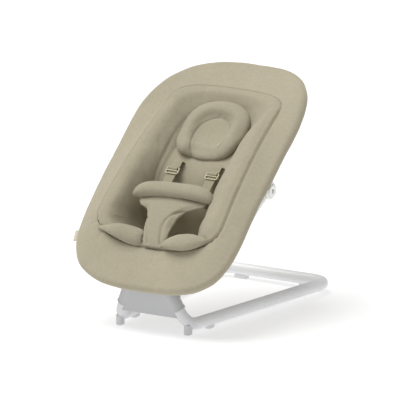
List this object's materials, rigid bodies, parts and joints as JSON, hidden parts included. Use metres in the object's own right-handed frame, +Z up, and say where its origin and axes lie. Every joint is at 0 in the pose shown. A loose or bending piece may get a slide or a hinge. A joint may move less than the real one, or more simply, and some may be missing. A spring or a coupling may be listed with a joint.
{
  "type": "baby bouncer seat",
  "caption": "Padded reclining baby bouncer seat with a harness, head pillow and leg pads, sprung on a folding tubular floor frame.",
  "frame": {"origin": "on the floor under the middle of the whole bouncer", "axes": "+Z up, -Y towards the baby's feet (the front), +Y towards the head end, X across the seat"},
  "size_m": [0.434, 0.6064, 0.5347],
  "materials": {
    "cover_fabric": "matte woven",
    "inlay_fabric": "matte woven",
    "pad_fabric": "matte woven",
    "webbing": "matte woven",
    "sand_plastic": "satin",
    "grey_plastic": "satin",
    "dark_plastic": "satin",
    "grey_paint": "satin",
    "grey_rubber": "matte",
    "plain_steel": "satin"
  },
  "bodies": {
    "floor_frame": {"floor_tube": "grey_paint", "foot_block_right": "grey_plastic", "foot_block_left": "grey_plastic", "rail_pad_right": "grey_rubber", "rail_pad_left": "grey_rubber", "rear_pad_right": "grey_rubber", "rear_pad_left": "grey_rubber", "bridge_front_shell": "grey_plastic", "bridge_rear_shell": "grey_plastic", "bridge_screw_right": "plain_steel", "bridge_screw_left": "plain_steel", "hinge_axle": "plain_steel", "torsion_spring_right": "plain_steel", "torsion_spring_left": "plain_steel"},
    "bounce_carrier": {"bounce_carrier": "dark_plastic"},
    "release_lever": {"release_lever": "sand_plastic"},
    "buckle_button": {"buckle_button": "grey_plastic"},
    "adjuster_right": {"strap_adjuster_right": "sand_plastic"},
    "adjuster_left": {"strap_adjuster_left": "sand_plastic"},
    "seat": {"hinge_knuckle_right": "grey_plastic", "hinge_knuckle_left": "grey_plastic", "arm_right": "grey_paint", "arm_left": "grey_paint", "cross_tube": "grey_paint", "rim_tube_foot": "grey_paint", "rim_tube_head": "grey_paint", "hub_body_right": "grey_plastic", "hub_body_left": "grey_plastic", "hub_cap_right": "grey_plastic", "hub_cap_left": "grey_plastic", "hub_screw_right": "plain_steel", "hub_screw_left": "plain_steel", "rim_band": "cover_fabric", "sling": "cover_fabric", "inlay": "inlay_fabric", "pillow_ring": "pad_fabric", "pillow_centre": "pad_fabric", "leg_pad_right": "pad_fabric", "leg_pad_left": "pad_fabric", "shoulder_strap_right": "webbing", "shoulder_strap_left": "webbing", "buckle_tongue_right": "dark_plastic", "buckle_tongue_left": "dark_plastic", "buckle_body": "dark_plastic", "waist_strap_right": "webbing", "waist_strap_left": "webbing", "crotch_strap": "webbing", "waist_pad": "pad_fabric", "crotch_pad": "pad_fabric", "label_tab": "webbing"}
  },
  "joints": [
    {"name": "seat_bounce", "type": "hinge", "parent": "floor_frame", "child": "bounce_carrier", "pos_m": [0, -0.21925, 0.082], "axis": [1, 0, 0], "range_deg": [-3, 3], "stiffness_Nm_per_rad": 180, "springref_deg": 1.52},
    {"name": "seat_recline", "type": "hinge", "parent": "bounce_carrier", "child": "seat", "pos_m": [0, -0.21925, 0.082], "axis": [1, 0, 0], "range_deg": [-46, 0]},
    {"name": "lever_release", "type": "hinge", "parent": "bounce_carrier", "child": "release_lever", "pos_m": [0, -0.19925, 0.069], "axis": [1, 0, 0], "range_deg": [0, 16], "stiffness_Nm_per_rad": 0.3, "springref_deg": -11.46},
    {"name": "buckle_press", "type": "slide", "parent": "seat", "child": "buckle_button", "axis": [0, 0.6808, -0.7325], "range_m": [0, 0.0025], "stiffness_N_per_m": 400, "springref_m": -0.001},
    {"name": "adjuster_slide_right", "type": "slide", "parent": "seat", "child": "adjuster_right", "axis": [0, 0.776, 0.6308], "range_m": [-0.02, 0.02]},
    {"name": "adjuster_slide_left", "type": "slide", "parent": "seat", "child": "adjuster_left", "axis": [0, 0.776, 0.6308], "range_m": [-0.02, 0.02]}
  ]
}
